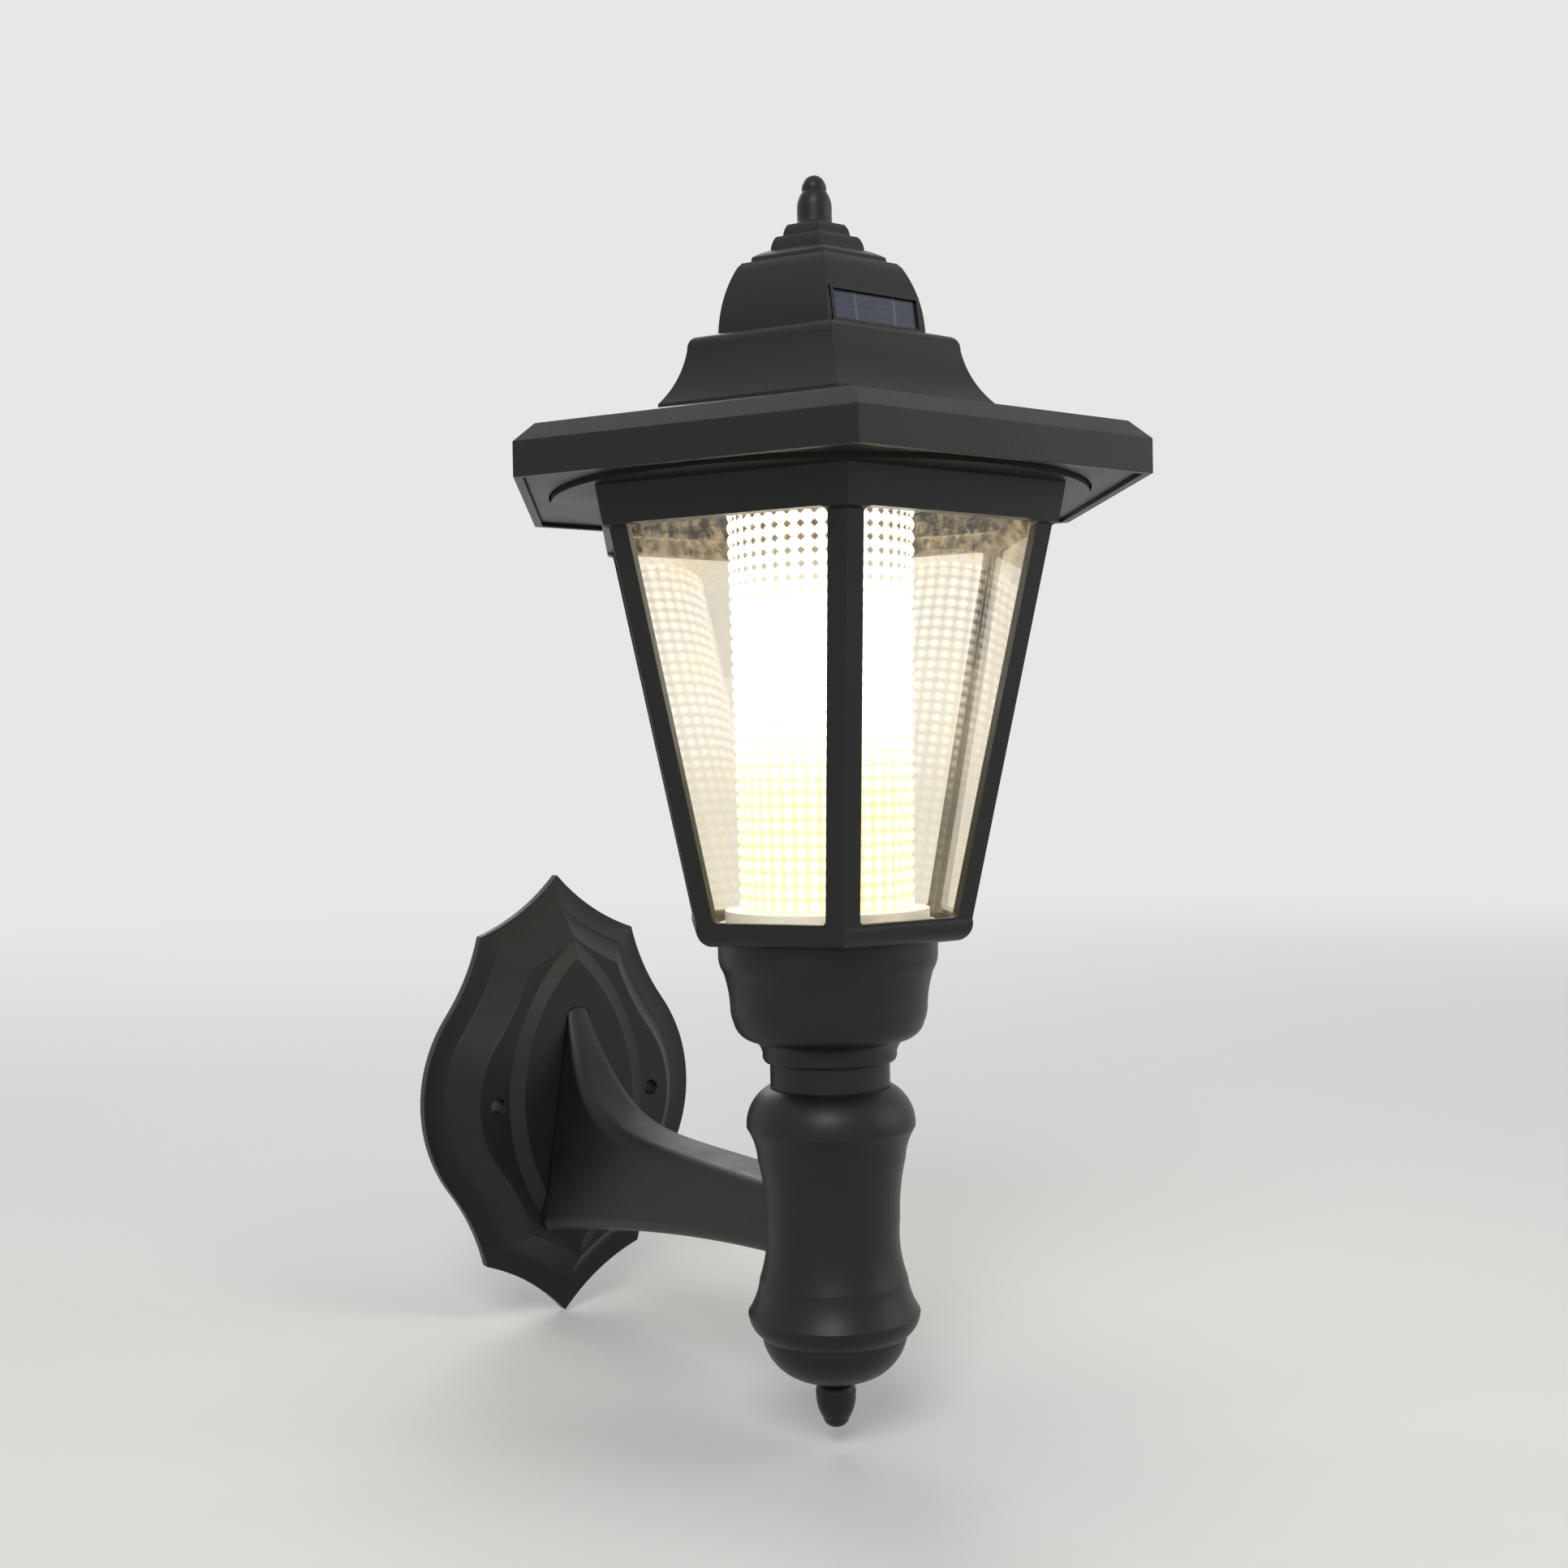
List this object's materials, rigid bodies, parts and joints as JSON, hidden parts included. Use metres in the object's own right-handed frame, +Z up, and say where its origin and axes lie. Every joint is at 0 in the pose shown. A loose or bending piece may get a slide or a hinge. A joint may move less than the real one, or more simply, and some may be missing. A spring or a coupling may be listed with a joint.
{
  "type": "wall lantern",
  "caption": "Outdoor solar wall lantern: shield-shaped wall plate, flared arm, turned post and six-sided lantern with a beaded light tube under a twist-off solar roof.",
  "frame": {"origin": "centre of the wall plate on the wall face, midway between the two screw holes", "axes": "+Z up, +Y into the wall, +X to the right seen from the room; the lamp stands out along -Y"},
  "size_m": [0.1618, 0.2131, 0.3045],
  "materials": {
    "black_plastic": "black moulded plastic with a fine grain",
    "clear_plastic": "thin clear moulded plastic",
    "lit_prisms": "clear beaded plastic, lit warm white from inside",
    "white_plastic": "white moulded plastic",
    "light_source": "warm white lens, lit",
    "light_board": "white solder mask",
    "screw_steel": "zinc plated",
    "solar_blue": "dark blue cell under clear resin",
    "board_green": "green solder mask",
    "battery_wrap": "plain shrink wrap, unprinted",
    "switch_metal": "tin plated case"
  },
  "bodies": {
    "bracket": {"back_plate": "black_plastic", "bracket_arm": "black_plastic", "arm_screws": "screw_steel", "post_barrel": "black_plastic", "post_bowl": "black_plastic", "drop_finial": "black_plastic", "neck_sleeve": "black_plastic", "lantern_cup": "black_plastic", "cup_screws": "screw_steel", "lantern_cage": "black_plastic", "clear_shade": "clear_plastic", "tube_seat": "white_plastic", "prism_tube": "lit_prisms", "locking_flange": "black_plastic"},
    "roof": {"roof_brim": "black_plastic", "roof_floor": "black_plastic", "board_screws": "screw_steel", "service_screws": "screw_steel", "roof_riser": "black_plastic", "roof_dome": "black_plastic", "solar_bezel": "black_plastic", "solar_cell": "solar_blue", "crown_cap": "black_plastic", "top_finial": "black_plastic", "service_plate": "black_plastic", "led_stalk": "white_plastic", "led_board": "light_board", "led_lens": "light_source", "battery": "battery_wrap", "battery_holder": "black_plastic", "battery_contacts": "screw_steel", "circuit_board": "board_green", "switch_housing": "switch_metal"},
    "switch": {"switch_slider": "white_plastic"}
  },
  "joints": [
    {"name": "roof_twist", "type": "hinge", "parent": "bracket", "child": "roof", "pos_m": [0, -0.143, 0.1603], "axis": [0, 0, 1], "range_deg": [-30, 0]},
    {"name": "switch_slide", "type": "slide", "parent": "roof", "child": "switch", "axis": [1, 0, 0], "range_m": [0, 0.004]}
  ]
}
